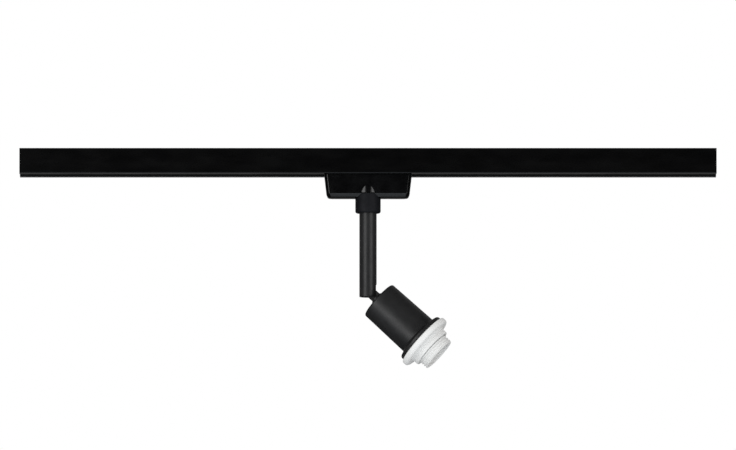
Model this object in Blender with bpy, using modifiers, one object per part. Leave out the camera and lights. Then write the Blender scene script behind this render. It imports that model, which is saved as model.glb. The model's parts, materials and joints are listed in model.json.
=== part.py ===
"""Track spotlight: lighting track, sliding adapter, swivelling drop tube and tilting lampholder head.

The origin is the centre of the track's ceiling face. X runs along the track, Y away from the
front and Z up. Sizes are millimetres, and MM turns them into metres. In the head, s is the
distance from the tilt pivot along the lamp's axis.
"""

import math

import bmesh
import bpy
from mathutils import Vector

MM = 0.001
FIT = 0.3
PAST = 1.0
SHARP_ANGLE = math.radians(32.0)
MERGE = 1e-7

# Track
RAIL_LENGTH = 500.0
RAIL_WIDTH = 34.0
RAIL_HEIGHT = 18.0
RAIL_WALL = 1.5
RAIL_SLOT = 14.0
RAIL_EDGE = 0.6
FIXING_HOLE_X = 200.0
FIXING_HOLE_RADIUS = 2.25
INSULATOR_INNER = 9.6
INSULATOR_BOTTOM = -13.6
GROOVE_DEPTH = 3.8
GROOVE_TOP = -5.6
GROOVE_BOTTOM = -10.4
CONDUCTOR_THICKNESS = 1.0
INSULATOR_SETBACK = 1.0
CONDUCTOR_SETBACK = 3.0

# Adapter housing
HOUSING_TOP = -RAIL_HEIGHT - FIT
HOUSING_BOTTOM = -34.8
HOUSING_TOP_HALF = (31.4, 11.2)
HOUSING_BOTTOM_HALF = (29.5, 7.5)
HOUSING_WALL = 1.5
HOUSING_EDGE = 1.9
HOUSING_FLOOR = -29.6
POCKET_TOP = -31.1
POCKET_RADIUS = 9.4
BOSS_RADIUS = 9.6
BOSS_TOP = -21.0
BOSS_BOTTOM = POCKET_TOP - 0.05
POST_X = 25.2
POST_RADIUS = 2.3
LEVER_SLOT_HALF = 14.9
LEVER_SLOT_Y = (6.0, 14.0)
LID_THICKNESS = 1.5
LID_TOP = HOUSING_TOP
LID_BOTTOM = LID_TOP - LID_THICKNESS
GUIDE_TOP = -16.6
GUIDE_HALF_WIDTH = 6.6
GUIDE_X = (9.0, 21.0)
LID_SCREW_HEAD = 1.8
LID_SCREW_SHANK = 0.9
LID_SCREW_RECESS = 0.8
LID_SCREW_TIP = -26.6

# Terminals
TERMINAL_X = (-21.0, -11.0)
TERMINAL_HALF_WIDTH = 6.0
TERMINAL_TOP = -24.6
TERMINAL_PITCH = 4.0
TERMINAL_SCREW = 1.2
TERMINAL_BORE_BOTTOM = -28.3
WIRE_ENTRY_Z = -27.2
WIRE_ENTRY_RADIUS = 0.8
EARTH_LEAF_X = 15.0
EARTH_LEAF_HALF = 2.5
EARTH_LEAF_Y = (-6.7, -2.5)
EARTH_LEAF_Z = (-16.3, -22.0)
EARTH_LEAF_THICKNESS = 0.6

# Lock
NECK_RADIUS = 6.0
LOCK_BORE = 3.2
ROTOR_TOP = -4.6
ROTOR_BOTTOM = -24.0
ROTOR_ROOF = 1.6
FLANGE_RADIUS = 7.6
FLANGE_BOTTOM = -21.3
LOWER_NECK_RADIUS = 5.0
LOWER_NECK_FLAT = 4.0
WING_HALF = (5.0, 14.0)
WING_CORNER = 2.5
WING_TOP = -14.2
WING_BOTTOM = -16.2
BLADE_HALF_WIDTH = 2.5
BLADE_REACH = (0.9, 11.8)
BLADE_Z = (-7.7, -8.3)
BLADE_LEAD_Y = 1.6
LEVER_Z = (-21.6, -23.0)
LEVER_HUB = 8.0
LEVER_HALF_WIDTH = 2.5
LEVER_TAB_Y = (18.2, 19.7)
LEVER_TAB_Z = (-20.6, -25.4)
LEVER_REST = math.radians(-45.0)
CLIP_RADIUS = 6.6
CLIP_THICKNESS = 0.4
CORE_RADIUS = 0.6

# Arm
ARM_SWIVEL = math.radians(6.0)
NIPPLE_RADIUS = 4.4
NIPPLE_BORE = 3.0
NIPPLE_TOP = -26.7
NIPPLE_FLANGE_RADIUS = 6.0
NIPPLE_FLANGE_BOTTOM = -38.0
WASHER_RADIUS = 6.6
NUT_RADIUS = 6.7
COLLAR_RADIUS = 9.1
COLLAR_TOP = -31.4
COLLAR_BOTTOM = -45.4
COLLAR_SHELF = -36.0
COLLAR_FILLET = 1.2
COLLAR_EDGE = 0.3
TUBE_RADIUS = 6.2
TUBE_WALL = 1.0
TUBE_TOP = -38.6
TUBE_BOTTOM = -105.75
TUBE_SLOT_HALF = 2.9
TUBE_SLOT_TOP = -96.65
FORK_TOP = -92.25
FORK_BOTTOM = -105.05
GRUB_RADIUS = 1.2
COLLAR_SCREW_Z = -41.0
FORK_SCREW_Z = -94.45
FORK_SCREW_Y = 2.9
CABLE_RADIUS = 1.5
CHANNEL_X = -1.2
CHANNEL_RADIUS = 1.8
PIVOT_Z = -100.85
PIN_RADIUS = 1.5
PIN_HALF_LENGTH = 4.6
FRICTION_RADIUS = 3.6

# Head
HEAD_TILT = math.radians(47.5)
TONGUE_HALF_WIDTH = 3.8
TONGUE_HALF_THICKNESS = 1.7
LINK_NECK_RADIUS = 4.55
LINK_NECK_S = (8.0, 9.5)
LINK_NECK_FLOOR = 1.2
STEM_RADIUS = 3.9
STEM_END_S = 26.0
STEM_BORE = 2.0
TAG_THICKNESS = 0.6
TAG_TAIL_REACH = 10.5
TAG_TAIL_HALF = 1.2
LOCK_WASHER_THICKNESS = 0.7
STACK_RADIUS = 6.2
NUT_HEIGHT = 2.6
CAP_WALL = 1.2
CAP_TOP_S = 9.8
CAP_TOP_RADIUS = 14.8
CAP_DOME = 0.15
CAP_CORNER = 1.5
CAP_SKIRT_RADIUS = 15.4
CAP_SKIRT_S = 48.2
CAP_FLARE_STEPS = 5
CAP_RIM_RADIUS = 19.8
CAP_RIM_S = 52.6
CAP_RIM_HEIGHT = 1.0
HOLDER_RADIUS = 13.05
HOLDER_WALL = 2.45
HOLDER_TOP_S = 20.0
HOLDER_JOINT_S = 36.3
HOLDER_SPIGOT = (11.8, 2.8)
HOLDER_MOUTH_S = 69.6
HOLDER_MOUTH_RADIUS = 10.8
HOLDER_MOUTH_DEPTH = 7.6
HOLDER_FLOOR_S = (43.5, 46.5)
DOME_NECK_RADIUS = 7.0
DOME_S = (25.0, 33.0)
DOME_STEPS = 4
CENTRE_SLOT_X = (3.7, 5.1)
SIDE_SLOT_X = (-7.3, -6.0)
SLOT_HALF_WIDTH = 1.9
CONTACT_HALF_WIDTH = 1.5
HOLDER_TERMINAL_Z = (-38.0, -42.5)
HOLDER_TERMINAL_HALF = 2.2
HOLDER_SCREW = 0.8
SHELL_BORE = 7.9
SHELL_WALL = 0.4
SHELL_END_S = 60.0
RING_RADIUS = 21.5
RING_HUB_RADIUS = 15.4
RING_S = (53.3, 57.9, 63.0)
RING_EDGE = 1.5
RING_FOOT_EDGE = 0.7
RING_GAP = 0.35

ROUND = 40
MEDIUM = 24
SMALL = 16
COARSE = 12
HEXAGON = 6
ALONG_X = (math.radians(90.0), 0.0, math.radians(90.0))
ALONG_Y = (math.radians(90.0), 0.0, 0.0)

FINISHES = {
    "black_painted_metal": ((0.012, 0.012, 0.013), 0.42, 0.6),
    "black_gloss_plastic": ((0.006, 0.006, 0.007), 0.22, 0.0),
    "black_matt_plastic": ((0.014, 0.015, 0.018), 0.5, 0.0),
    "grey_insulator": ((0.05, 0.05, 0.052), 0.55, 0.0),
    "white_thermoplastic": ((0.78, 0.78, 0.77), 0.38, 0.0),
    "natural_nylon": ((0.62, 0.60, 0.54), 0.5, 0.0),
    "zinc_steel": ((0.52, 0.53, 0.55), 0.32, 1.0),
    "brass": ((0.62, 0.44, 0.16), 0.28, 1.0),
    "copper": ((0.72, 0.33, 0.18), 0.3, 1.0),
    "cable_sheath": ((0.02, 0.02, 0.02), 0.6, 0.0),
    "brown_core": ((0.14, 0.05, 0.02), 0.5, 0.0),
    "blue_core": ((0.02, 0.07, 0.30), 0.5, 0.0),
}


def clear_scene():
    for obj in list(bpy.data.objects):
        bpy.data.objects.remove(obj, do_unlink=True)


def new_collection(name):
    collection = bpy.data.collections.new(name)
    bpy.context.scene.collection.children.link(collection)
    return collection


def finish(name):
    """The Principled material of that name, made once."""
    if name in bpy.data.materials:
        return bpy.data.materials[name]
    colour, roughness, metallic = FINISHES[name]
    material = bpy.data.materials.new(name)
    material.use_nodes = True
    shader = material.node_tree.nodes["Principled BSDF"]
    shader.inputs["Base Color"].default_value = (*colour, 1.0)
    shader.inputs["Roughness"].default_value = roughness
    shader.inputs["Metallic"].default_value = metallic
    return material


def empty(name, location=(0.0, 0.0, 0.0), rotation=(0.0, 0.0, 0.0), parent=None):
    """A joint frame: the pieces parented to it turn or slide together."""
    frame = bpy.data.objects.new(name, None)
    frame.empty_display_size = 10.0 * MM
    frame.location = Vector(location) * MM
    frame.rotation_euler = rotation
    frame.parent = parent
    PARTS.objects.link(frame)
    return frame


def place(name, data, parent, look):
    """Put mesh or curve data in the scene; with no look it is a shape that joins or cuts others."""
    obj = bpy.data.objects.new(name, data)
    obj.parent = parent
    if look:
        data.materials.append(finish(look))
        PARTS.objects.link(obj)
        return obj
    obj.hide_render = True
    obj.display_type = "WIRE"
    TOOLS.objects.link(obj)
    return obj


def place_bmesh(name, shape, parent, look):
    mesh = bpy.data.meshes.new(name)
    shape.to_mesh(mesh)
    shape.free()
    return place(name, mesh, parent, look)


def block(name, low, high, parent, look=None):
    """A box between two corners."""
    shape = bmesh.new()
    bmesh.ops.create_cube(shape, size=1.0)
    for vert in shape.verts:
        for axis in range(3):
            vert.co[axis] = (high[axis] if vert.co[axis] > 0.0 else low[axis]) * MM
    return place_bmesh(name, shape, parent, look)


def tapered_block(name, top_half, bottom_half, top, bottom, parent, look=None, edge_radius=0.0):
    """A box that narrows downwards, with all but its top edges rounded if a radius is given."""
    shape = bmesh.new()
    bmesh.ops.create_cube(shape, size=2.0)
    for vert in shape.verts:
        half, height = (top_half, top) if vert.co.z > 0.0 else (bottom_half, bottom)
        vert.co = Vector((vert.co.x * half[0], vert.co.y * half[1], height)) * MM
    if edge_radius:
        middle = 0.5 * (top + bottom) * MM
        lower = [edge for edge in shape.edges if min(vert.co.z for vert in edge.verts) < middle]
        bmesh.ops.bevel(shape, geom=lower, offset=edge_radius * MM, segments=4, profile=0.5,
                        affect="EDGES")
    return place_bmesh(name, shape, parent, look)


def rod(name, radius, start, end, parent, look=None, sides=SMALL):
    """A cylinder, or with six sides a hexagon bar, between two points."""
    first = Vector(start) * MM
    last = Vector(end) * MM
    shape = bmesh.new()
    bmesh.ops.create_cone(shape, cap_ends=True, segments=sides, radius1=radius * MM,
                          radius2=radius * MM, depth=(last - first).length)
    obj = place_bmesh(name, shape, parent, look)
    obj.location = (first + last) / 2.0
    obj.rotation_mode = "QUATERNION"
    obj.rotation_quaternion = (last - first).to_track_quat("Z", "Y")
    return obj


def upright(name, radius, top, bottom, parent, look=None, sides=SMALL, x=0.0, y=0.0):
    """A rod that stands along Z."""
    return rod(name, radius, (x, y, bottom), (x, y, top), parent, look, sides)


def across(name, radius, start, end, height, parent, look=None, sides=SMALL, x=0.0):
    """A rod that lies along Y at a height."""
    return rod(name, radius, (x, start, height), (x, end, height), parent, look, sides)


def turned(name, profile, parent, look=None, steps=ROUND, closed=True):
    """A (radius, z) profile turned about Z; it runs down its outer side and, if closed, up inside."""
    points = [(radius * MM, 0.0, z * MM) for radius, z in profile]
    count = len(points)
    links = [(i, i + 1) for i in range(count - 1)]
    if closed:
        links.append((count - 1, 0))
    mesh = bpy.data.meshes.new(name)
    mesh.from_pydata(points, links, [])
    obj = place(name, mesh, parent, look)
    screw = obj.modifiers.new("turn", "SCREW")
    screw.axis = "Z"
    screw.angle = math.tau
    screw.steps = steps
    screw.render_steps = steps
    screw.use_merge_vertices = True
    screw.merge_threshold = MERGE
    return obj


def ring(name, outer, inner, top, bottom, parent, look=None, steps=SMALL):
    """A washer or bush."""
    profile = [(outer, top), (outer, bottom), (inner, bottom), (inner, top)]
    return turned(name, profile, parent, look, steps)


def extruded(name, outline, half_thickness, parent, look=None, rotation=(0.0, 0.0, 0.0),
             shift=(0.0, 0.0, 0.0)):
    """A flat outline extruded both ways, then made a mesh whose caps are welded to its sides."""
    curve = bpy.data.curves.new(name, "CURVE")
    curve.dimensions = "2D"
    curve.fill_mode = "BOTH"
    curve.extrude = half_thickness * MM
    spline = curve.splines.new("POLY")
    spline.points.add(len(outline) - 1)
    for point, (x, y) in zip(spline.points, outline):
        point.co = (x * MM, y * MM, 0.0, 1.0)
    spline.use_cyclic_u = True
    flat = place(name + "_outline", curve, None, None)
    graph = bpy.context.evaluated_depsgraph_get()
    mesh = bpy.data.meshes.new_from_object(flat.evaluated_get(graph))
    bpy.data.objects.remove(flat, do_unlink=True)
    shape = bmesh.new()
    shape.from_mesh(mesh)
    bmesh.ops.remove_doubles(shape, verts=shape.verts, dist=MERGE * 10.0)
    bmesh.ops.recalc_face_normals(shape, faces=shape.faces)
    obj = place_bmesh(name, shape, parent, look)
    obj.rotation_euler = rotation
    obj.location = Vector(shift) * MM
    return obj


def wire(name, route, radius, parent, look):
    """A round wire along a route of points."""
    curve = bpy.data.curves.new(name, "CURVE")
    curve.dimensions = "3D"
    curve.bevel_depth = radius * MM
    curve.bevel_resolution = 2
    curve.use_fill_caps = True
    spline = curve.splines.new("POLY")
    spline.points.add(len(route) - 1)
    for point, stop in zip(spline.points, route):
        point.co = (*(Vector(stop) * MM), 1.0)
    return place(name, curve, parent, look)


def combine(obj, operation, shapes):
    for shape in shapes:
        boolean = obj.modifiers.new(shape.name, "BOOLEAN")
        boolean.operation = operation
        boolean.object = shape
        boolean.solver = "EXACT"


def cut(obj, *shapes):
    combine(obj, "DIFFERENCE", shapes)


def join(obj, *shapes):
    combine(obj, "UNION", shapes)


def arc(centre, radius, start, end, steps):
    """Points on an arc in a plane, with angles in degrees."""
    points = []
    for i in range(steps + 1):
        angle = math.radians(start + (end - start) * i / steps)
        points.append((centre[0] + radius * math.cos(angle), centre[1] + radius * math.sin(angle)))
    return points


def down(profile):
    """A head profile given as (radius, s), with s measured down the lamp's axis."""
    return [(radius, -s) for radius, s in profile]


def settle(obj):
    """Replace a mesh piece's modifiers by their result, smooth between its sharp edges."""
    graph = bpy.context.evaluated_depsgraph_get()
    mesh = bpy.data.meshes.new_from_object(obj.evaluated_get(graph))
    obj.modifiers.clear()
    obj.data = mesh
    mesh.name = obj.name
    mesh.shade_smooth()
    mesh.set_sharp_from_angle(angle=SHARP_ANGLE)


# ---------------------------------------------------------------- track

def rail_profile(track):
    """The C-shaped extrusion, with rounded lower edges and two ceiling screw holes."""
    half = RAIL_WIDTH / 2.0
    inner = half - RAIL_WALL
    lip = RAIL_SLOT / 2.0
    floor = -RAIL_HEIGHT + RAIL_WALL
    right = [(half, 0.0)]
    right += arc((half - RAIL_EDGE, -RAIL_HEIGHT + RAIL_EDGE), RAIL_EDGE, 0.0, -90.0, 3)
    right += [(lip, -RAIL_HEIGHT), (lip, floor), (inner, floor), (inner, -RAIL_WALL)]
    left = [(-y, z) for y, z in reversed(right)]
    rail = extruded("rail_profile", right + left, RAIL_LENGTH / 2.0, track, "black_painted_metal",
                    ALONG_X)
    for x in (-FIXING_HOLE_X, FIXING_HOLE_X):
        cut(rail, upright("fixing_hole", FIXING_HOLE_RADIUS, PAST, -RAIL_WALL - PAST, track, x=x))


def conductor_track(track, insulator_name, conductor_name, side):
    """One insulating liner and the copper strip in its groove."""
    outer = RAIL_WIDTH / 2.0 - RAIL_WALL - FIT
    top = -RAIL_WALL - FIT
    groove = INSULATOR_INNER + GROOVE_DEPTH
    outline = [(outer, top), (INSULATOR_INNER, top), (INSULATOR_INNER, GROOVE_TOP),
               (groove, GROOVE_TOP), (groove, GROOVE_BOTTOM), (INSULATOR_INNER, GROOVE_BOTTOM),
               (INSULATOR_INNER, INSULATOR_BOTTOM), (outer, INSULATOR_BOTTOM)]
    extruded(insulator_name, [(side * y, z) for y, z in outline],
             RAIL_LENGTH / 2.0 - INSULATOR_SETBACK, track, "grey_insulator", ALONG_X)
    back = groove - FIT
    faces = sorted((side * back, side * (back - CONDUCTOR_THICKNESS)))
    reach = RAIL_LENGTH / 2.0 - CONDUCTOR_SETBACK
    block(conductor_name, (-reach, faces[0], GROOVE_BOTTOM + 2.0 * FIT),
          (reach, faces[1], GROOVE_TOP - 2.0 * FIT), track, "copper")


# ---------------------------------------------------------------- adapter

def housing_half(z, wall=0.0):
    """Half sizes of the housing's outer form at a height, less a wall."""
    share = (HOUSING_TOP - z) / (HOUSING_TOP - HOUSING_BOTTOM)
    halves = zip(HOUSING_TOP_HALF, HOUSING_BOTTOM_HALF)
    return tuple(top + (bottom - top) * share - wall for top, bottom in halves)


def adapter_housing(adapter):
    """The drafted box, with a boss over the collar's pocket, two screw posts and a lever slot."""
    housing = tapered_block("adapter_housing", HOUSING_TOP_HALF, HOUSING_BOTTOM_HALF, HOUSING_TOP,
                            HOUSING_BOTTOM, adapter, "black_gloss_plastic", HOUSING_EDGE)
    join(housing, upright("boss", BOSS_RADIUS, BOSS_TOP, BOSS_BOTTOM, adapter, sides=ROUND))
    above = HOUSING_TOP + PAST
    cut(housing,
        tapered_block("cavity", housing_half(above, HOUSING_WALL),
                      housing_half(HOUSING_FLOOR, HOUSING_WALL), above, HOUSING_FLOOR, adapter),
        upright("collar_pocket", POCKET_RADIUS, POCKET_TOP, HOUSING_BOTTOM - PAST, adapter,
                sides=ROUND),
        upright("nipple_hole", NIPPLE_RADIUS + FIT, HOUSING_FLOOR + PAST, POCKET_TOP - PAST, adapter),
        block("lever_slot", (-LEVER_SLOT_HALF, LEVER_SLOT_Y[0], LEVER_Z[1] - FIT),
              (LEVER_SLOT_HALF, LEVER_SLOT_Y[1], LEVER_Z[0] + FIT), adapter))
    for x in (-POST_X, POST_X):
        join(housing, upright("post", POST_RADIUS, LID_BOTTOM - FIT, HOUSING_FLOOR - HOUSING_WALL / 2.0,
                              adapter, x=x))
        cut(housing, upright("pilot_hole", LID_SCREW_SHANK + FIT, LID_TOP, LID_SCREW_TIP - FIT,
                             adapter, x=x))


def adapter_lid(adapter):
    """The top plate, with guides for the track's slot and holes for the rotor and its screws."""
    half_x, half_y = housing_half(LID_BOTTOM, HOUSING_WALL + FIT)
    lid = block("adapter_lid", (-half_x, -half_y, LID_BOTTOM), (half_x, half_y, LID_TOP), adapter,
                "black_matt_plastic")
    for side in (-1.0, 1.0):
        near, far = sorted((side * GUIDE_X[0], side * GUIDE_X[1]))
        join(lid, block("guide", (near, -GUIDE_HALF_WIDTH, LID_TOP - LID_THICKNESS / 2.0),
                        (far, GUIDE_HALF_WIDTH, GUIDE_TOP), adapter))
        x = side * POST_X
        cut(lid,
            upright("head_recess", LID_SCREW_HEAD + FIT, LID_TOP + PAST, LID_TOP - LID_SCREW_RECESS,
                    adapter, x=x),
            upright("screw_hole", LID_SCREW_SHANK + FIT, LID_TOP, LID_BOTTOM - PAST, adapter, x=x))
    notch_half = EARTH_LEAF_HALF + FIT
    cut(lid,
        upright("rotor_hole", NECK_RADIUS + FIT, LID_TOP + PAST, LID_BOTTOM - PAST, adapter,
                sides=ROUND),
        block("earth_notch", (EARTH_LEAF_X - notch_half, -half_y + PAST, LID_BOTTOM - PAST),
              (EARTH_LEAF_X + notch_half, EARTH_LEAF_Y[0] + EARTH_LEAF_THICKNESS + FIT,
               GUIDE_TOP + PAST), adapter))


def lid_screw(adapter, name, side):
    """A flat-headed screw that holds the lid to its post."""
    top = LID_TOP - FIT
    under = LID_TOP - LID_SCREW_RECESS + FIT / 2.0
    profile = [(0.0, top), (LID_SCREW_HEAD, top), (LID_SCREW_HEAD, under), (LID_SCREW_SHANK, under),
               (LID_SCREW_SHANK, LID_SCREW_TIP + 0.6), (0.0, LID_SCREW_TIP)]
    screw = turned(name, profile, adapter, "zinc_steel", SMALL, closed=False)
    screw.location.x = side * POST_X * MM


def terminals(adapter):
    """The three-way terminal block with its screws."""
    near, far = TERMINAL_X
    body = block("terminal_block", (near, -TERMINAL_HALF_WIDTH, HOUSING_FLOOR + FIT),
                 (far, TERMINAL_HALF_WIDTH, TERMINAL_TOP), adapter, "natural_nylon")
    x = (near + far) / 2.0
    for name, y in (("live", -TERMINAL_PITCH), ("neutral", 0.0), ("earth", TERMINAL_PITCH)):
        cut(body,
            upright("screw_bore_" + name, TERMINAL_SCREW + FIT, TERMINAL_TOP + PAST,
                    TERMINAL_BORE_BOTTOM, adapter, x=x, y=y),
            rod("wire_entry_" + name, WIRE_ENTRY_RADIUS, (near - PAST, y, WIRE_ENTRY_Z),
                (far + PAST, y, WIRE_ENTRY_Z), adapter, sides=COARSE))
        upright("terminal_screw_" + name, TERMINAL_SCREW, TERMINAL_TOP - FIT,
                WIRE_ENTRY_Z + WIRE_ENTRY_RADIUS + FIT, adapter, "zinc_steel", x=x, y=y)


def earth_contact(adapter):
    """The bent leaf that wipes the track's lip and carries the earth wire."""
    outer, inner = EARTH_LEAF_Y
    top, bottom = EARTH_LEAF_Z
    thick = EARTH_LEAF_THICKNESS
    outline = [(outer, top), (outer + thick, top), (outer + thick, bottom + thick),
               (inner, bottom + thick), (inner, bottom), (outer, bottom)]
    extruded("earth_contact", outline, EARTH_LEAF_HALF, adapter, "copper", ALONG_X,
             (EARTH_LEAF_X, 0.0, 0.0))


# ---------------------------------------------------------------- lock

def lock_rotor(lock):
    """The hollow rotor: two wings over the track's lips, a flange under the lid, a flatted neck."""
    shoulder = LID_BOTTOM - FIT
    profile = [(0.0, ROTOR_TOP), (NECK_RADIUS, ROTOR_TOP), (NECK_RADIUS, shoulder),
               (FLANGE_RADIUS, shoulder), (FLANGE_RADIUS, FLANGE_BOTTOM),
               (LOWER_NECK_RADIUS, FLANGE_BOTTOM), (LOWER_NECK_RADIUS, ROTOR_BOTTOM),
               (0.0, ROTOR_BOTTOM)]
    rotor = turned("lock_rotor", profile, lock, "black_matt_plastic", MEDIUM, closed=False)
    join(rotor, lock_wings(lock))
    clear = FLANGE_RADIUS + PAST
    cut(rotor,
        upright("rotor_bore", LOCK_BORE, ROTOR_TOP - ROTOR_ROOF, ROTOR_BOTTOM - PAST, lock),
        block("neck_flat", (-clear, -clear, ROTOR_BOTTOM - PAST),
              (clear, -LOWER_NECK_FLAT, FLANGE_BOTTOM), lock),
        block("blade_slot", (-BLADE_HALF_WIDTH - FIT, -clear, BLADE_Z[1] - FIT),
              (BLADE_HALF_WIDTH + FIT, clear, BLADE_Z[0] + FIT), lock))


def lock_wings(lock):
    """The cross bar whose round-cornered ends turn over the lips."""
    x, y = WING_HALF
    outline = []
    for sign_x, sign_y, start in ((1.0, 1.0, 0.0), (-1.0, 1.0, 90.0), (-1.0, -1.0, 180.0),
                                  (1.0, -1.0, 270.0)):
        centre = (sign_x * (x - WING_CORNER), sign_y * (y - WING_CORNER))
        outline += arc(centre, WING_CORNER, start, start + 90.0, 4)
    middle = (WING_TOP + WING_BOTTOM) / 2.0
    return extruded("wings", outline, (WING_TOP - WING_BOTTOM) / 2.0, lock,
                    shift=(0.0, 0.0, middle))


def lock_lever(lock):
    """The flat lever on the rotor's neck, with a thumb tab outside the rear wall."""
    top, bottom = LEVER_Z
    half = LEVER_HALF_WIDTH
    hole = LOWER_NECK_RADIUS + FIT
    lever = ring("lock_lever", LEVER_HUB, LOCK_BORE, top, bottom, lock, "black_matt_plastic", MEDIUM)
    lever.rotation_euler.z = LEVER_REST
    arm = block("lever_arm", (-half, LOCK_BORE - PAST, bottom), (half, LEVER_TAB_Y[1], top), lock)
    tab = block("lever_tab", (-half, LEVER_TAB_Y[0], LEVER_TAB_Z[1]),
                (half, LEVER_TAB_Y[1], LEVER_TAB_Z[0]), lock)
    for shape in (arm, tab):
        shape.rotation_euler.z = LEVER_REST
    join(lever, arm, tab)
    cut(lever, upright("lever_hole", hole, top + PAST, bottom - PAST, lock, sides=MEDIUM))
    join(lever, block("lever_flat", (-LOWER_NECK_FLAT - FIT, -hole - PAST, bottom),
                      (LOWER_NECK_FLAT + FIT, -LOWER_NECK_FLAT - FIT, top), lock))


def lever_clip(lock):
    """The spring ring that keeps the lever on the rotor's neck."""
    top = LEVER_Z[1] - FIT
    ring("lever_clip", CLIP_RADIUS, LOWER_NECK_RADIUS + FIT, top, top - CLIP_THICKNESS, lock,
         "zinc_steel")


def contact_blade(lock, name, core, side):
    """A copper blade from the rotor's bore to the conductor, and the core that feeds from it."""
    ends = sorted((side * BLADE_REACH[0], side * BLADE_REACH[1]))
    block("contact_blade_" + name, (-BLADE_HALF_WIDTH, ends[0], BLADE_Z[1]),
          (BLADE_HALF_WIDTH, ends[1], BLADE_Z[0]), lock, "copper")
    y = side * BLADE_LEAD_Y
    wire("blade_lead_" + name, [(0.0, y, BLADE_Z[1] - FIT), (0.0, y, ROTOR_BOTTOM + FIT)],
         CORE_RADIUS, lock, core)


# ---------------------------------------------------------------- arm

def swivel(arm):
    """The hollow nipple with its washer and nut, which hold the collar up under the adapter."""
    shelf = COLLAR_SHELF - FIT
    profile = [(NIPPLE_RADIUS, NIPPLE_TOP), (NIPPLE_RADIUS, shelf), (NIPPLE_FLANGE_RADIUS, shelf),
               (NIPPLE_FLANGE_RADIUS, NIPPLE_FLANGE_BOTTOM), (NIPPLE_BORE, NIPPLE_FLANGE_BOTTOM),
               (NIPPLE_BORE, NIPPLE_TOP)]
    turned("swivel_nipple", profile, arm, "zinc_steel", MEDIUM)
    hole = NIPPLE_RADIUS + FIT
    washer_top = HOUSING_FLOOR + 0.8
    ring("swivel_washer", WASHER_RADIUS, hole, washer_top, HOUSING_FLOOR + FIT, arm,
         "natural_nylon", MEDIUM)
    nut = upright("swivel_nut", NUT_RADIUS, NIPPLE_TOP - FIT, washer_top + FIT, arm, "zinc_steel",
                  HEXAGON)
    cut(nut, upright("nut_bore", hole, NIPPLE_TOP + PAST, washer_top - PAST, arm, sides=MEDIUM))


def swivel_collar(arm):
    """The turned collar: a shelf for the nipple above and a socket for the tube below."""
    fillet_centre = (COLLAR_RADIUS - COLLAR_FILLET, COLLAR_BOTTOM + COLLAR_FILLET)
    socket = TUBE_RADIUS + FIT
    hole = NIPPLE_RADIUS + FIT
    profile = [(COLLAR_RADIUS - COLLAR_EDGE, COLLAR_TOP), (COLLAR_RADIUS, COLLAR_TOP - COLLAR_EDGE)]
    profile += arc(fillet_centre, COLLAR_FILLET, 0.0, -90.0, 4)
    profile += [(socket, COLLAR_BOTTOM), (socket, COLLAR_SHELF), (hole, COLLAR_SHELF),
                (hole, COLLAR_TOP)]
    collar = turned("swivel_collar", profile, arm, "black_matt_plastic")
    cut(collar, across("set_screw_hole", GRUB_RADIUS + FIT, socket - PAST, COLLAR_RADIUS + PAST,
                       COLLAR_SCREW_Z, arm))
    across("collar_set_screw", GRUB_RADIUS, socket, COLLAR_RADIUS - FIT, COLLAR_SCREW_Z, arm,
           "zinc_steel")


def drop_tube(arm):
    """The round tube, slotted on one side at its lower end so that the knuckle can swing out."""
    bore = TUBE_RADIUS - TUBE_WALL
    tube = ring("drop_tube", TUBE_RADIUS, bore, TUBE_TOP, TUBE_BOTTOM, arm, "black_painted_metal",
                ROUND)
    cut(tube,
        block("tube_slot", (0.0, -TUBE_SLOT_HALF, TUBE_BOTTOM - PAST),
              (TUBE_RADIUS + PAST, TUBE_SLOT_HALF, TUBE_SLOT_TOP), arm),
        across("fork_screw_hole", GRUB_RADIUS + FIT, bore - PAST, TUBE_RADIUS + PAST, FORK_SCREW_Z,
               arm))


def tube_fork(arm):
    """The plug in the tube's end, whose two cheeks carry the pivot pin."""
    radius = TUBE_RADIUS - TUBE_WALL - FIT
    clear = radius + PAST
    fork = upright("tube_fork", radius, FORK_TOP, FORK_BOTTOM, arm, "zinc_steel", MEDIUM)
    cut(fork,
        block("fork_gap", (-clear, -TUBE_SLOT_HALF, FORK_BOTTOM - PAST),
              (clear, TUBE_SLOT_HALF, TUBE_SLOT_TOP), arm),
        across("pin_hole", PIN_RADIUS + FIT, -clear, clear, PIVOT_Z, arm),
        across("fork_screw_bore", GRUB_RADIUS + FIT, FORK_SCREW_Y - FIT, clear, FORK_SCREW_Z, arm),
        upright("cable_channel", CHANNEL_RADIUS, FORK_TOP + PAST, TUBE_SLOT_TOP - PAST, arm,
                x=CHANNEL_X))
    across("fork_screw", GRUB_RADIUS, FORK_SCREW_Y, TUBE_RADIUS - FIT, FORK_SCREW_Z, arm,
           "zinc_steel")
    across("pivot_pin", PIN_RADIUS, -PIN_HALF_LENGTH, PIN_HALF_LENGTH, PIVOT_Z, arm, "zinc_steel")


def friction_washer(arm, name, side):
    """The washer between a cheek of the fork and the tongue."""
    inner = TONGUE_HALF_THICKNESS + FIT
    outer = TUBE_SLOT_HALF - FIT
    half = (outer - inner) / 2.0
    washer = ring(name, FRICTION_RADIUS, PIN_RADIUS + FIT, half, -half, arm, "natural_nylon")
    washer.rotation_euler = ALONG_Y
    washer.location = Vector((0.0, side * (inner + outer) / 2.0, PIVOT_Z)) * MM


def inner_cable_arm(arm):
    """The sheathed cable down the middle of the nipple and tube, into the fork's channel."""
    route = [(0.0, 0.0, NIPPLE_TOP - FIT), (-0.1, 0.0, -70.0), (-0.6, 0.0, -82.0),
             (-1.1, 0.0, -88.0), (CHANNEL_X, 0.0, FORK_TOP - 3.0)]
    wire("inner_cable_arm", route, CABLE_RADIUS, arm, "cable_sheath")


# ---------------------------------------------------------------- head

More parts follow.
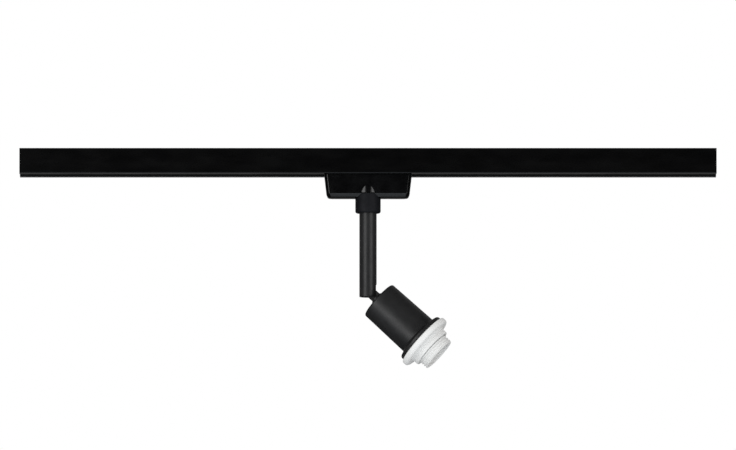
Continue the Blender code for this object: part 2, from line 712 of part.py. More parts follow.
def knuckle_link(head):
    """The eye and tongue in the fork, the round neck, and the hollow stem into the cap."""
    near, far = LINK_NECK_S
    outline = arc((0.0, 0.0), TONGUE_HALF_WIDTH, 0.0, 180.0, 16)
    outline += [(-TONGUE_HALF_WIDTH, -near - FIT), (TONGUE_HALF_WIDTH, -near - FIT)]
    link = extruded("knuckle_link", outline, TONGUE_HALF_THICKNESS, head, "black_painted_metal",
                    ALONG_Y)
    neck = [(0.0, near), (LINK_NECK_RADIUS - FIT, near), (LINK_NECK_RADIUS, near + FIT),
            (LINK_NECK_RADIUS, far), (STEM_RADIUS, far), (STEM_RADIUS, STEM_END_S),
            (STEM_BORE, STEM_END_S), (STEM_BORE, near + LINK_NECK_FLOOR),
            (0.0, near + LINK_NECK_FLOOR)]
    join(link, turned("neck_and_stem", down(neck), head, None, MEDIUM, closed=False))
    reach = TONGUE_HALF_THICKNESS + PAST
    cut(link, across("eye", PIN_RADIUS + FIT, -reach, reach, 0.0, head))


def stem_stack(head):
    """The earth tag, lock washer and nut that clamp the cap on the stem."""
    hole = STEM_RADIUS + FIT
    tag_top = -CAP_TOP_S - CAP_WALL - FIT
    tag_bottom = tag_top - TAG_THICKNESS
    tag = ring("earth_tag", STACK_RADIUS, hole, tag_top, tag_bottom, head, "brass", MEDIUM)
    join(tag, block("tag_tail", (STACK_RADIUS - TAG_THICKNESS, -TAG_TAIL_HALF, tag_bottom),
                    (TAG_TAIL_REACH, TAG_TAIL_HALF, tag_top), head))
    washer_top = tag_bottom - FIT
    washer_bottom = washer_top - LOCK_WASHER_THICKNESS
    ring("lock_washer", STACK_RADIUS, hole, washer_top, washer_bottom, head, "zinc_steel", MEDIUM)
    nut_top = washer_bottom - FIT
    nut_bottom = nut_top - NUT_HEIGHT
    nut = upright("knuckle_nut", NUT_RADIUS, nut_top, nut_bottom, head, "zinc_steel", HEXAGON)
    cut(nut, upright("knuckle_nut_bore", hole, nut_top + PAST, nut_bottom - PAST, head,
                     sides=MEDIUM))


def lamp_cap(head):
    """The drafted cap with a faintly domed top, a swept flare and a short rim."""
    stem_hole = STEM_RADIUS + FIT
    inner_top = CAP_TOP_RADIUS - CAP_WALL
    inner_rim = CAP_RIM_RADIUS - CAP_WALL
    corner = (CAP_TOP_RADIUS - CAP_CORNER, CAP_TOP_S + 4.0 * CAP_DOME + CAP_CORNER)
    outer = [(stem_hole, CAP_TOP_S), (9.0, CAP_TOP_S + CAP_DOME)]
    outer += arc(corner, CAP_CORNER, -90.0, 0.0, 4)
    flare_end = CAP_RIM_S - CAP_RIM_HEIGHT
    for i in range(CAP_FLARE_STEPS + 1):
        share = i / CAP_FLARE_STEPS
        swept = share * share * (3.0 - 2.0 * share)
        outer.append((CAP_SKIRT_RADIUS + (CAP_RIM_RADIUS - CAP_SKIRT_RADIUS) * swept,
                      CAP_SKIRT_S + (flare_end - CAP_SKIRT_S) * share))
    outer.append((CAP_RIM_RADIUS, CAP_RIM_S))
    inner = [(inner_rim, CAP_RIM_S), (inner_rim, CAP_RIM_S - 0.8), (inner_rim - 0.8, CAP_RIM_S - 1.5),
             (CAP_SKIRT_RADIUS - 0.5, CAP_SKIRT_S + 1.9), (CAP_SKIRT_RADIUS - CAP_WALL, CAP_SKIRT_S + 0.8),
             (inner_top, CAP_TOP_S + 2.5), (inner_top - 0.9, CAP_TOP_S + CAP_WALL),
             (stem_hole, CAP_TOP_S + CAP_WALL)]
    turned("lamp_cap", down(outer + inner), head, "black_painted_metal")


def holder_dome(head):
    """The upper half of the lampholder, which screws on the stem."""
    bore = STEM_RADIUS + FIT
    top = HOLDER_TOP_S
    joint = HOLDER_JOINT_S - FIT
    socket = HOLDER_SPIGOT[0] + FIT
    outer = [(DOME_NECK_RADIUS - 0.4, top), (DOME_NECK_RADIUS, top + 0.4)]
    for i in range(DOME_STEPS + 1):
        angle = math.pi / 2.0 * i / DOME_STEPS
        outer.append((DOME_NECK_RADIUS + (HOLDER_RADIUS - DOME_NECK_RADIUS) * math.sin(angle),
                      DOME_S[1] - (DOME_S[1] - DOME_S[0]) * math.cos(angle)))
    outer.append((HOLDER_RADIUS, joint))
    inner = [(socket, joint), (socket, joint - HOLDER_SPIGOT[1]), (11.0, joint - HOLDER_SPIGOT[1] - FIT),
             (9.8, top + 10.4), (7.6, top + 8.0), (bore, top + 7.4), (bore, top)]
    turned("holder_dome", down(outer + inner), head, "white_thermoplastic")


def lampholder_body(head):
    """The lower half: a spigot in the dome, the threaded barrel, a floor and a wide mouth."""
    spigot, length = HOLDER_SPIGOT
    mouth = HOLDER_MOUTH_S
    inside = HOLDER_RADIUS - HOLDER_WALL
    outer = [(spigot, HOLDER_JOINT_S - length), (spigot, HOLDER_JOINT_S),
             (HOLDER_RADIUS, HOLDER_JOINT_S), (HOLDER_RADIUS, mouth - 2.4),
             (HOLDER_RADIUS - 0.4, mouth - 0.5), (HOLDER_RADIUS - 0.7, mouth)]
    inner = [(HOLDER_MOUTH_RADIUS, mouth), (HOLDER_MOUTH_RADIUS - 0.2, mouth - HOLDER_MOUTH_DEPTH),
             (SHELL_BORE, mouth - HOLDER_MOUTH_DEPTH - 1.0), (SHELL_BORE, HOLDER_FLOOR_S[1]),
             (0.0, HOLDER_FLOOR_S[1])]
    upper = [(0.0, HOLDER_FLOOR_S[0]), (inside, HOLDER_FLOOR_S[0]), (inside, HOLDER_JOINT_S - length)]
    # The barrel is one loop that meets the axis on both sides of its floor.
    body = turned("lampholder_body", down(upper + outer + inner), head, "white_thermoplastic",
                  closed=False)
    for name, (near, far) in (("centre_slot", CENTRE_SLOT_X), ("side_slot", SIDE_SLOT_X)):
        cut(body, block(name, (near, -SLOT_HALF_WIDTH, -HOLDER_FLOOR_S[1] - PAST),
                        (far, SLOT_HALF_WIDTH, -HOLDER_FLOOR_S[0] + PAST), head))


def holder_contacts(head):
    """The brass screw shell, the sprung centre contact, the side strap and their terminals."""
    outer = SHELL_BORE - FIT
    ring("screw_shell", outer, outer - SHELL_WALL, -HOLDER_FLOOR_S[1] - FIT, -SHELL_END_S, head,
         "brass", ROUND)
    leaf = [(4.1, -37.0), (4.6, -37.0), (4.6, -47.4), (4.2, -47.6), (-1.2, -50.0), (-2.6, -49.6),
            (-2.6, -49.1), (-1.2, -49.4), (4.1, -47.0)]
    extruded("centre_contact", leaf, CONTACT_HALF_WIDTH, head, "copper", ALONG_Y)
    block("side_contact", (-6.9, -CONTACT_HALF_WIDTH, -50.0), (-6.4, CONTACT_HALF_WIDTH, -37.0),
          head, "copper")
    for name, near, far in (("live", 4.9, 8.0), ("neutral", -10.0, -7.2)):
        x = (near + far) / 2.0
        top, bottom = HOLDER_TERMINAL_Z
        terminal = block("holder_terminal_" + name, (near, -HOLDER_TERMINAL_HALF, bottom),
                         (far, HOLDER_TERMINAL_HALF, top), head, "brass")
        cut(terminal, upright("terminal_bore_" + name, HOLDER_SCREW + FIT, top + PAST, bottom + PAST,
                              head, x=x))
        upright("holder_screw_" + name, HOLDER_SCREW, top + 0.8, bottom + PAST + FIT, head,
                "zinc_steel", COARSE, x=x)


def head_cables(head):
    """The cable in the stem, and the two cores that it splits into."""
    wire("inner_cable_head", [(0.0, 0.0, -LINK_NECK_S[1]), (0.0, 0.0, -27.6)], CABLE_RADIUS, head,
         "cable_sheath")
    live = [(0.8, 0.0, -28.0), (1.4, 0.0, -31.0), (3.6, 0.0, -34.0), (6.4, 0.0, -36.7)]
    neutral = [(-0.8, 0.0, -28.0), (-1.8, 0.0, -31.0), (-5.2, 0.0, -34.0), (-8.6, 0.0, -36.7)]
    wire("holder_lead_live", live, CORE_RADIUS, head, "brown_core")
    wire("holder_lead_neutral", neutral, CORE_RADIUS, head, "blue_core")


def shade_ring(ring_frame):
    """The screwed ring: a round-edged flange and a plain hub."""
    top, step, foot = RING_S
    bore = HOLDER_RADIUS + RING_GAP
    rim = RING_RADIUS - RING_EDGE
    profile = arc((rim, top + RING_EDGE), RING_EDGE, -90.0, 0.0, 4)
    profile += arc((rim, step - RING_EDGE), RING_EDGE, 0.0, 90.0, 4)
    profile += [(RING_HUB_RADIUS + 0.5, step), (RING_HUB_RADIUS, step + 0.5)]
    profile += arc((RING_HUB_RADIUS - RING_FOOT_EDGE, foot - RING_FOOT_EDGE), RING_FOOT_EDGE, 0.0, 90.0, 2)
    profile += [(bore, foot), (bore, top)]
    turned("shade_ring", down(profile), ring_frame, "white_thermoplastic")


# ---------------------------------------------------------------- assembly

clear_scene()
PARTS = new_collection("track_spotlight")
TOOLS = new_collection("cutters")

track_frame = empty("track_frame")
rail_profile(track_frame)
conductor_track(track_frame, "insulator_front", "conductor_live", -1.0)
conductor_track(track_frame, "insulator_rear", "conductor_neutral", 1.0)

adapter_frame = empty("adapter_frame", parent=track_frame)
adapter_housing(adapter_frame)
adapter_lid(adapter_frame)
lid_screw(adapter_frame, "lid_screw_left", -1.0)
lid_screw(adapter_frame, "lid_screw_right", 1.0)
terminals(adapter_frame)
earth_contact(adapter_frame)

lock_axis = empty("lock_axis", parent=adapter_frame)
lock_rotor(lock_axis)
lock_lever(lock_axis)
lever_clip(lock_axis)
contact_blade(lock_axis, "live", "brown_core", -1.0)
contact_blade(lock_axis, "neutral", "blue_core", 1.0)

swivel_axis = empty("swivel_axis", rotation=(0.0, 0.0, -ARM_SWIVEL), parent=adapter_frame)
swivel(swivel_axis)
swivel_collar(swivel_axis)
drop_tube(swivel_axis)
tube_fork(swivel_axis)
friction_washer(swivel_axis, "friction_washer_front", -1.0)
friction_washer(swivel_axis, "friction_washer_rear", 1.0)
inner_cable_arm(swivel_axis)

tilt_axis = empty("tilt_axis", (0.0, 0.0, PIVOT_Z), (0.0, -HEAD_TILT, 0.0), swivel_axis)
knuckle_link(tilt_axis)
stem_stack(tilt_axis)
lamp_cap(tilt_axis)
holder_dome(tilt_axis)
lampholder_body(tilt_axis)
holder_contacts(tilt_axis)
head_cables(tilt_axis)

ring_axis = empty("ring_axis", parent=tilt_axis)
shade_ring(ring_axis)

bpy.context.view_layer.update()
for piece in PARTS.objects:
    if piece.type == "MESH":
        settle(piece)
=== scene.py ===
"""Looks for the track spotlight: fine meshes, procedural finishes, studio light and camera.

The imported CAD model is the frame. Its visible pieces are replaced by finer meshes that stand in
the same places, and the rest keep their shapes and get finishes. Sizes are millimetres, and MM
turns them into metres. In the head, s is the distance from the tilt pivot along the lamp's axis.
"""

import json
import math

import bmesh
import bpy
from mathutils import Matrix, Vector


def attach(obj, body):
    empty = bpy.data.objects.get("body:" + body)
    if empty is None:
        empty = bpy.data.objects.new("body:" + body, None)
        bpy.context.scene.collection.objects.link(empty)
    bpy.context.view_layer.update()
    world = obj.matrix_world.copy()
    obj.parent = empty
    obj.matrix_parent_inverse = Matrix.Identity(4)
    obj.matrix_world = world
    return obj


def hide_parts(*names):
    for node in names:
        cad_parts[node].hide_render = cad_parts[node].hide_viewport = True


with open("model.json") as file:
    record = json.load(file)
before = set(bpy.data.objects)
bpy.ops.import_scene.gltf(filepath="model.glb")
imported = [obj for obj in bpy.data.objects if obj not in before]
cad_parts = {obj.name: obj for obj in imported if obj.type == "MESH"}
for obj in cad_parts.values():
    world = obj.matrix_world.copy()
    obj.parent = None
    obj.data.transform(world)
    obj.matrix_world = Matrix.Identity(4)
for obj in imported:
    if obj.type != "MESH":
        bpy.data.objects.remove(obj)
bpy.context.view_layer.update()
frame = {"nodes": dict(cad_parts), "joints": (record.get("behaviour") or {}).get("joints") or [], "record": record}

MM = 0.001
FINE = 144                          # facets around the larger round pieces
MEDIUM = 64                         # facets around the smaller ones
ARC_STEP = math.radians(9.0)        # how much each step of a rounded corner turns
SHARP_ANGLE = math.radians(38.0)    # edges that turn more than this stay sharp
CREASE_ANGLE = math.radians(12.0)   # the same for the housing
FIT = 0.3                           # clearance between two pieces
PAST = 1.0                          # how far a cutter reaches past a face
FAR_PAST = 6.0                      # the same for a cutter that leaves the piece

JOINTS = {joint["name"]: joint for joint in frame["joints"]}
PIVOT = Vector(JOINTS["head_tilt"]["pos_m"])
TILT_AXIS = Vector(JOINTS["head_tilt"]["axis"])
ARM = Matrix.Rotation(math.atan2(TILT_AXIS.x, -TILT_AXIS.y), 4, "Z")
LAMP_AXIS = ARM.inverted() @ Vector(JOINTS["ring_unscrew"]["axis"])
HEAD_TURN = Matrix.Rotation(-math.atan2(LAMP_AXIS.x, -LAMP_AXIS.z), 4, "Y")
HEAD = Matrix.Translation(PIVOT) @ ARM @ HEAD_TURN
SLOT_OF = {part["node"]: part["material_slot"] for part in frame["record"]["subparts"]}
BODIES = frame["record"]["behaviour"]["bodies"]
BODY_OF = {node: body for body, nodes in BODIES.items() for node in nodes}


# ---------------------------------------------------------------- CAD measures

def size_of(node, place=Matrix()):
    """Lowest and highest corner of a CAD node in the frame of a place, in millimetres."""
    back = place.inverted()
    points = [back @ vert.co / MM for vert in frame["nodes"][node].data.vertices]
    return tuple(Vector([limit(point[i] for point in points) for i in range(3)])
                 for limit in (min, max))


def reach_of(node):
    """Where a CAD node of the head starts and ends along the lamp's axis, in millimetres."""
    low, high = size_of(node, HEAD)
    return -high.z, -low.z


# ---------------------------------------------------------------- mesh tools

def rounded(corners, closed=True):
    """The points of an outline whose corners, each (x, y, radius), are turned into arcs."""
    points = []
    last = len(corners) - 1
    for i, (x, y, radius) in enumerate(corners):
        corner = Vector((x, y))
        if not radius or (not closed and i in (0, last)):
            points.append((x, y))
            continue
        back = (Vector(corners[i - 1][:2]) - corner).normalized()
        ahead = (Vector(corners[(i + 1) % len(corners)][:2]) - corner).normalized()
        half = math.acos(max(-1.0, min(1.0, back.dot(ahead)))) / 2.0
        centre = corner + (back + ahead).normalized() * (radius / math.sin(half))
        start = corner + back * (radius / math.tan(half)) - centre
        end = corner + ahead * (radius / math.tan(half)) - centre
        first = math.atan2(start.y, start.x)
        sweep = math.remainder(math.atan2(end.y, end.x) - first, math.tau)
        steps = max(2, round(abs(sweep) / ARC_STEP))
        for step in range(steps + 1):
            angle = first + sweep * step / steps
            points.append((centre.x + radius * math.cos(angle),
                           centre.y + radius * math.sin(angle)))
    return points


def spaced(start, end, step):
    """Points from start to end, both included, about a step apart."""
    count = max(1, round(math.dist(start, end) / step))
    return [tuple(a + (b - a) * i / count for a, b in zip(start, end)) for i in range(count + 1)]


def object_of(name, shape):
    """A new object from a bmesh whose sizes are millimetres."""
    bmesh.ops.scale(shape, vec=(MM, MM, MM), verts=shape.verts)
    bmesh.ops.recalc_face_normals(shape, faces=shape.faces)
    mesh = bpy.data.meshes.new(name)
    shape.to_mesh(mesh)
    shape.free()
    obj = bpy.data.objects.new(name, mesh)
    bpy.context.scene.collection.objects.link(obj)
    return obj


def lathe(name, profile, steps=FINE, closed=True, relief=None):
    """A profile of (radius, height) points turned about Z; relief may change a point's radius."""
    shape = bmesh.new()
    rings = []
    for radius, height in profile:
        if radius == 0.0:
            rings.append([shape.verts.new((0.0, 0.0, height))] * steps)
            continue
        ring = []
        for i in range(steps):
            angle = math.tau * i / steps
            far = relief(radius, height, angle) if relief else radius
            ring.append(shape.verts.new((far * math.cos(angle), far * math.sin(angle), height)))
        rings.append(ring)
    lower_rings = rings[1:] + rings[:1] if closed else rings[1:]
    for upper, lower in zip(rings, lower_rings):
        for i in range(steps):
            j = (i + 1) % steps
            corners = list(dict.fromkeys([upper[i], lower[i], lower[j], upper[j]]))
            if len(corners) > 2:
                shape.faces.new(corners)
    return object_of(name, shape)


def loft(name, outlines):
    """Closed outlines of equally many 3D points, joined by quads and capped at both ends."""
    shape = bmesh.new()
    loops = [[shape.verts.new(point) for point in outline] for outline in outlines]
    for first, second in zip(loops, loops[1:]):
        for i in range(len(first)):
            j = (i + 1) % len(first)
            shape.faces.new([first[i], second[i], second[j], first[j]])
    shape.faces.new(loops[0])
    shape.faces.new(loops[-1])
    return object_of(name, shape)


def along_x(name, outline, start, end):
    """A prism along X from an outline of (y, z) points."""
    return loft(name, [[(x, y, z) for y, z in outline] for x in (start, end)])


def along_y(name, outline, start, end):
    """A prism along Y from an outline of (x, z) points."""
    return loft(name, [[(x, y, z) for x, z in outline] for y in (start, end)])


def along_z(name, outline, start, end):
    """A prism along Z from an outline of (x, y) points."""
    return loft(name, [[(x, y, z) for x, y in outline] for z in (start, end)])


def circle(radius, steps=MEDIUM, centre=(0.0, 0.0)):
    """A circle's outline."""
    return [(centre[0] + radius * math.cos(math.tau * i / steps),
             centre[1] + radius * math.sin(math.tau * i / steps)) for i in range(steps)]


def rectangle(low, high, radius=0.0):
    """A rectangle's outline between two corners, with its corners rounded by a radius."""
    return rounded([(low[0], low[1], radius), (high[0], low[1], radius), (high[0], high[1], radius),
                    (low[0], high[1], radius)])


def settle(obj):
    """Replace an object's modifiers by their result."""
    graph = bpy.context.evaluated_depsgraph_get()
    mesh = bpy.data.meshes.new_from_object(obj.evaluated_get(graph))
    obj.modifiers.clear()
    obj.data = mesh
    mesh.name = obj.name


def combine(obj, operation, shapes):
    """Join or cut an object with others, which are used up."""
    for shape in shapes:
        modifier = obj.modifiers.new(shape.name, "BOOLEAN")
        modifier.operation = operation
        modifier.object = shape
        modifier.solver = "EXACT"
    settle(obj)
    for shape in shapes:
        bpy.data.objects.remove(shape, do_unlink=True)


def cut(obj, *shapes):
    """Take shapes away from an object."""
    combine(obj, "DIFFERENCE", shapes)


def join(obj, *shapes):
    """Add shapes to an object."""
    combine(obj, "UNION", shapes)


def break_edges(obj, width, angle=60.0, segments=2):
    """Round the edges that turn by more than an angle, given in degrees."""
    bevel = obj.modifiers.new("edges", "BEVEL")
    bevel.width = width * MM
    bevel.segments = segments
    bevel.limit_method = "ANGLE"
    bevel.angle_limit = math.radians(angle)
    settle(obj)


def stand_for(obj, node, place=None, sharp=SHARP_ANGLE):
    """Finish a fine piece: smooth it, set it in place and let it stand for its CAD node."""
    if place is not None:
        obj.data.transform(place)
    obj.data.shade_smooth()
    obj.data.set_sharp_from_angle(angle=sharp)
    normals = obj.modifiers.new("normals", "WEIGHTED_NORMAL")
    normals.keep_sharp = True
    dress(obj, node)
    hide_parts(node)
    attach(obj, BODY_OF[node])


def dress(obj, node):
    """Give an object the finish of a CAD node."""
    obj.data.materials.clear()
    obj.data.materials.append(LOOKS[SLOT_OF[node]])


# ---------------------------------------------------------------- finishes

class Finish:
    """A Principled material under construction, with helpers for its procedural inputs."""

    def __init__(self, name, colour, roughness, metallic=0.0, **constants):
        self.material = bpy.data.materials.new(name)
        self.material.use_nodes = True
        self.nodes = self.material.node_tree.nodes
        self.links = self.material.node_tree.links
        self.shader = self.nodes["Principled BSDF"]
        self.shader.inputs["Base Color"].default_value = (*colour, 1.0)
        self.shader.inputs["Roughness"].default_value = roughness
        self.shader.inputs["Metallic"].default_value = metallic
        for socket, value in constants.items():
            self.shader.inputs[socket.replace("_", " ")].default_value = value
        self.colour = colour
        self.roughness = roughness
        self.place = self.nodes.new("ShaderNodeTexCoord").outputs["Object"]
        self.height = None

    def pattern(self, kind, size, stretch=(1.0, 1.0, 1.0)):
        """A texture node whose features are about size millimetres, longer along a stretch."""
        mapping = self.nodes.new("ShaderNodeMapping")
        mapping.inputs["Scale"].default_value = tuple(1.0 / (size * MM * part) for part in stretch)
        self.links.new(self.place, mapping.inputs["Vector"])
        texture = self.nodes.new(kind)
        texture.inputs["Scale"].default_value = 1.0
        self.links.new(mapping.outputs["Vector"], texture.inputs["Vector"])
        return texture

    def noise(self, size, stretch=(1.0, 1.0, 1.0), detail=3.0):
        """A soft noise."""
        noise = self.pattern("ShaderNodeTexNoise", size, stretch)
        noise.inputs["Detail"].default_value = detail
        noise.inputs["Roughness"].default_value = 0.5
        return noise.outputs["Fac"]

    def cells(self, size):
        """Distances to scattered points."""
        return self.pattern("ShaderNodeTexVoronoi", size).outputs["Distance"]

    def spread(self, source, low, high, start=0.3, end=0.7):
        """Map a pattern's middle range to values from low to high."""
        spread = self.nodes.new("ShaderNodeMapRange")
        spread.inputs["From Min"].default_value = start
        spread.inputs["From Max"].default_value = end
        spread.inputs["To Min"].default_value = low
        spread.inputs["To Max"].default_value = high
        self.links.new(source, spread.inputs["Value"])
        return spread.outputs["Result"]

    def tint(self, source, other, start=0.35, end=0.65):
        """Vary the base colour towards another one."""
        mix = self.nodes.new("ShaderNodeMix")
        mix.data_type = "RGBA"
        mix.inputs["A"].default_value = (*self.colour, 1.0)
        mix.inputs["B"].default_value = (*other, 1.0)
        self.links.new(self.spread(source, 0.0, 1.0, start, end), mix.inputs["Factor"])
        self.links.new(mix.outputs["Result"], self.shader.inputs["Base Color"])

    def vary_roughness(self, source, amount):
        """Let the roughness go up and down with a pattern."""
        result = self.spread(source, self.roughness - amount, self.roughness + amount)
        self.links.new(result, self.shader.inputs["Roughness"])

    def relief(self, source, depth):
        """Add a bump of a depth in millimetres on top of those already there."""
        bump = self.nodes.new("ShaderNodeBump")
        bump.inputs["Strength"].default_value = 1.0
        bump.inputs["Distance"].default_value = depth * MM
        self.links.new(source, bump.inputs["Height"])
        if self.height:
            self.links.new(self.height, bump.inputs["Normal"])
        self.height = bump.outputs["Normal"]
        self.links.new(self.height, self.shader.inputs["Normal"])


def track_coat():
    """Black powder coat on an aluminium extrusion: faint draw lines under a fine orange peel."""
    look = Finish("track_coat", (0.0008, 0.0008, 0.0009), 0.24, IOR=1.45)
    look.tint(look.noise(18.0, (4.0, 1.0, 1.0)), (0.0014, 0.0014, 0.0015))
    look.vary_roughness(look.noise(9.0, (3.0, 1.0, 1.0)), 0.05)
    look.relief(look.noise(0.9, detail=2.0), 0.004)
    look.relief(look.noise(0.5, (60.0, 1.0, 1.0)), 0.003)
    return look.material


def liner():
    """Extruded grey-black insulator, dull, with lines along the track."""
    look = Finish("track_liner", (0.03, 0.03, 0.032), 0.6)
    look.tint(look.noise(6.0, (12.0, 1.0, 1.0)), (0.045, 0.045, 0.047))
    look.vary_roughness(look.noise(2.0, (10.0, 1.0, 1.0)), 0.08)
    look.relief(look.noise(0.35, (50.0, 1.0, 1.0)), 0.015)
    return look.material


def gloss_plastic():
    """Glossy black moulding: slight waviness, a few dull patches and a very fine skin."""
    look = Finish("gloss_plastic", (0.001, 0.001, 0.0012), 0.18, IOR=1.58)
    look.tint(look.noise(14.0), (0.0016, 0.0016, 0.0019))
    look.vary_roughness(look.noise(7.0, detail=5.0), 0.04)
    look.relief(look.noise(6.0, detail=1.0), 0.006)
    look.relief(look.noise(0.25), 0.0006)
    return look.material


def matt_plastic():
    """Matt black moulding with a spark-eroded grain."""
    look = Finish("matt_plastic", (0.0036, 0.004, 0.0063), 0.6, Specular_IOR_Level=0.24)
    look.tint(look.noise(5.0), (0.006, 0.0064, 0.009))
    look.vary_roughness(look.noise(3.0), 0.06)
    look.relief(look.cells(0.22), 0.012)
    look.relief(look.noise(0.12), 0.006)
    return look.material


def satin_paint():
    """Satin black paint on metal, with the soft texture of a sprayed coat."""
    look = Finish("satin_paint", (0.012, 0.012, 0.0125), 0.4, IOR=1.5)
    look.tint(look.noise(8.0), (0.015, 0.015, 0.0155))
    look.vary_roughness(look.noise(5.0, detail=4.0), 0.04)
    look.relief(look.noise(0.55, detail=2.0), 0.01)
    look.relief(look.noise(0.14), 0.004)
    return look.material


def white_thermoplastic():
    """White moulded lampholder plastic with faint flow marks."""
    look = Finish("white_thermoplastic", (0.74, 0.74, 0.73), 0.42, IOR=1.5)
    look.tint(look.noise(9.0, (1.0, 1.0, 3.0)), (0.725, 0.725, 0.713))
    look.vary_roughness(look.noise(4.0, detail=4.0), 0.05)
    look.relief(look.noise(3.0, detail=1.0), 0.006)
    return look.material


def nylon():
    """Natural nylon, waxy and a little cloudy."""
    look = Finish("natural_nylon", (0.62, 0.60, 0.54), 0.48)
    look.tint(look.noise(3.0), (0.56, 0.54, 0.47))
    look.vary_roughness(look.noise(1.5), 0.07)
    look.relief(look.noise(0.3), 0.006)
    return look.material


def zinc_steel():
    """Zinc-plated steel with turning marks and a faint warm cast in patches."""
    look = Finish("zinc_steel", (0.50, 0.51, 0.53), 0.3, metallic=1.0)
    look.tint(look.noise(2.5), (0.53, 0.51, 0.46))
    look.vary_roughness(look.noise(0.8, (4.0, 4.0, 0.3)), 0.08)
    look.relief(look.noise(0.1, (20.0, 20.0, 1.0)), 0.003)
    return look.material


def brass():
    """Rolled brass with dull tarnish."""
    look = Finish("rolled_brass", (0.62, 0.44, 0.17), 0.28, metallic=1.0)
    look.tint(look.noise(3.5, detail=5.0), (0.47, 0.31, 0.12))
    look.vary_roughness(look.noise(2.0, detail=4.0), 0.1)
    look.relief(look.noise(0.12, (12.0, 12.0, 1.0)), 0.003)
    return look.material


def copper():
    """Drawn copper with lines along the strip and darker oxide."""
    look = Finish("drawn_copper", (0.72, 0.34, 0.19), 0.3, metallic=1.0)
    look.tint(look.noise(9.0, (5.0, 1.0, 1.0), detail=5.0), (0.48, 0.2, 0.11))
    look.vary_roughness(look.noise(3.0, (8.0, 1.0, 1.0)), 0.1)
    look.relief(look.noise(0.15, (60.0, 1.0, 1.0)), 0.003)
    return look.material


def cable_skin(name, colour, other):
    """Extruded cable insulation, matt, with a slight chalky variation."""
    look = Finish(name, colour, 0.55)
    look.tint(look.noise(2.0), other)
    look.vary_roughness(look.noise(1.0), 0.08)
    look.relief(look.noise(0.2), 0.006)
    return look.material


LOOKS = {
    "track_profile": track_coat(),
    "track_insulator": liner(),
    "copper": copper(),
    "housing_plastic": gloss_plastic(),
    "black_plastic": matt_plastic(),
    "zinc_steel": zinc_steel(),
    "nylon": nylon(),
    "black_metal": satin_paint(),
    "white_plastic": white_thermoplastic(),
    "brass": brass(),
    "cable_sheath": cable_skin("cable_sheath", (0.02, 0.02, 0.02), (0.03, 0.03, 0.03)),
    "brown_core": cable_skin("brown_core", (0.14, 0.05, 0.02), (0.11, 0.04, 0.018)),
    "blue_core": cable_skin("blue_core", (0.02, 0.07, 0.30), (0.018, 0.055, 0.24)),
}


# ---------------------------------------------------------------- track

RAIL_WALL = 1.5
RAIL_SLOT_HALF = 7.0
RAIL_EDGE = 0.7
RAIL_LIP_ROUND = 0.35
RAIL_INNER_ROUND = 0.3
RAIL_CUT_EDGE = 0.15
HOLE_X = 200.0
HOLE_RADIUS = 2.25
STAKES = 19
STAKE_PITCH = 26.1
STAKE_Z = -7.9
STAKE_BALL = 12.0
STAKE_DEPTH = 0.15
STAKE_FACETS = 32


def rail():
    """The track's extrusion, with soft edges and a row of stake marks along each side."""
    low, high = size_of("rail_profile")
    half = high.y
    inner = half - RAIL_WALL
    floor = low.z + RAIL_WALL
    right = [(half, high.z, RAIL_INNER_ROUND), (half, low.z, RAIL_EDGE),
             (RAIL_SLOT_HALF, low.z, RAIL_LIP_ROUND), (RAIL_SLOT_HALF, floor, RAIL_LIP_ROUND),
             (inner, floor, RAIL_INNER_ROUND), (inner, high.z - RAIL_WALL, RAIL_INNER_ROUND)]
    left = [(-y, z, radius) for y, z, radius in reversed(right)]
    track = along_x("track_rail", rounded(right + left), low.x, high.x)
    holes = [along_z("hole", circle(HOLE_RADIUS, MEDIUM, (x, 0.0)),
                     high.z + PAST, high.z - 2.0 * RAIL_WALL) for x in (-HOLE_X, HOLE_X)]
    cut(track, *holes)
    cut(track, stakes(half))
    break_edges(track, RAIL_CUT_EDGE)
    stand_for(track, "rail_profile")


def stakes(half):
    """One mesh of balls that reach a stake's depth into both side faces."""
    shape = bmesh.new()
    for side in (-1.0, 1.0):
        for i in range(STAKES):
            x = (i - (STAKES - 1) / 2.0) * STAKE_PITCH
            centre = Vector((x, side * (half + STAKE_BALL - STAKE_DEPTH), STAKE_Z))
            bmesh.ops.create_uvsphere(shape, u_segments=STAKE_FACETS, v_segments=STAKE_FACETS,
                                      radius=STAKE_BALL, matrix=Matrix.Translation(centre))
    return object_of("stakes", shape)


LINER_ROUND = 0.5
GROOVE_LIP_ROUND = 0.4
GROOVE_ROUND = 0.2
STRIP_ROUND = 0.25


def track_liner(node, strip, side):
    """An insulating liner, with a groove for its conductor and softened edges."""
    low, high = size_of(node)
    near = min(abs(low.y), abs(high.y))
    far = max(abs(low.y), abs(high.y))
    strip_low, strip_high = size_of(strip)
    back = max(abs(strip_low.y), abs(strip_high.y)) + FIT
    groove_low = strip_low.z - 2.0 * FIT
    groove_high = strip_high.z + 2.0 * FIT
    outline = [(far, high.z, LINER_ROUND), (near, high.z, LINER_ROUND),
               (near, groove_high, GROOVE_LIP_ROUND), (back, groove_high, GROOVE_ROUND),
               (back, groove_low, GROOVE_ROUND), (near, groove_low, GROOVE_LIP_ROUND),
               (near, low.z, LINER_ROUND), (far, low.z, LINER_ROUND)]
    points = [(side * y, z) for y, z in rounded(outline)]
    stand_for(along_x(node + "_drawn", points, low.x, high.x), node)


def conductor(node):
    """A drawn copper strip with rounded edges."""
    low, high = size_of(node)
    points = rectangle((low.y, low.z), (high.y, high.z), STRIP_ROUND)
    stand_for(along_x(node + "_drawn", points, low.x, high.x), node)


# ---------------------------------------------------------------- adapter

